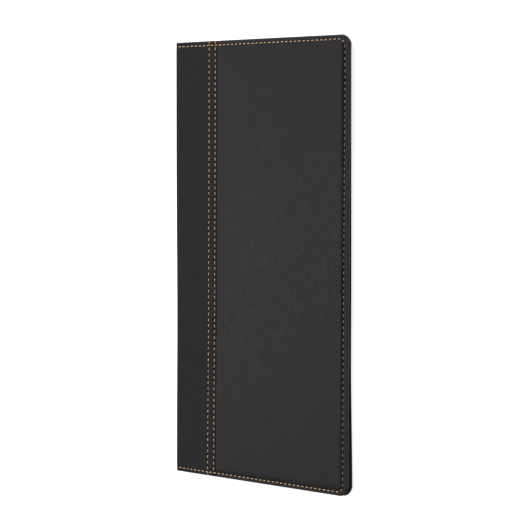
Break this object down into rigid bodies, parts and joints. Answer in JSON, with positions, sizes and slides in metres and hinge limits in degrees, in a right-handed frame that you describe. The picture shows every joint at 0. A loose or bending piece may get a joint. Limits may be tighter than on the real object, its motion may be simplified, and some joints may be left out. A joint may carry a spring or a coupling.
{
  "type": "guest check presenter",
  "caption": "Closed book-style guest check presenter in stitched leatherette that opens flat on a soft spine fold, with an inside bill pocket in each cover.",
  "frame": {"origin": "centre of the closed folder's plan, on the outer face of the back cover, on which it lies", "axes": "+Z out of the front cover, +X from the spine to the fore edge, +Y from the foot to the head"},
  "size_m": [0.14, 0.254, 0.0046],
  "materials": {
    "smooth_leatherette": "smooth matt leatherette, charcoal black",
    "grained_leatherette": "fine pebble grain leatherette, black",
    "lining": "black woven lining cloth",
    "chipboard": "grey chipboard",
    "contrast_thread": "twisted polyester thread, tan gold"
  },
  "bodies": {
    "back_cover": {"back_board": "chipboard", "back_cover_leather": "smooth_leatherette", "back_spine_leather": "grained_leatherette", "back_hinge_lining": "lining", "back_lining": "lining", "back_pocket": "smooth_leatherette", "back_border_thread": "contrast_thread", "back_bobbin_thread": "contrast_thread", "back_seam_thread": "contrast_thread", "back_pocket_thread": "contrast_thread"},
    "spine_fold": {"fold_spine_leather": "grained_leatherette", "fold_hinge_lining": "lining", "fold_border_thread": "contrast_thread"},
    "front_cover": {"front_board": "chipboard", "front_cover_leather": "smooth_leatherette", "front_spine_leather": "grained_leatherette", "front_hinge_lining": "lining", "front_lining": "lining", "front_pocket": "smooth_leatherette", "front_border_thread": "contrast_thread", "front_bobbin_thread": "contrast_thread", "front_seam_thread": "contrast_thread", "front_pocket_thread": "contrast_thread"}
  },
  "joints": [
    {"name": "back_crease", "type": "hinge", "parent": "back_cover", "child": "spine_fold", "pos_m": [-0.06933, 0, 0.00067], "axis": [0, -1, 0], "range_deg": [0, 90]},
    {"name": "front_crease", "type": "hinge", "parent": "spine_fold", "child": "front_cover", "pos_m": [-0.06933, 0, 0.00393], "axis": [0, -1, 0], "range_deg": [0, 90]}
  ],
  "couplings": [
    {"joint": "front_crease", "follows": "back_crease", "ratio": 1}
  ]
}
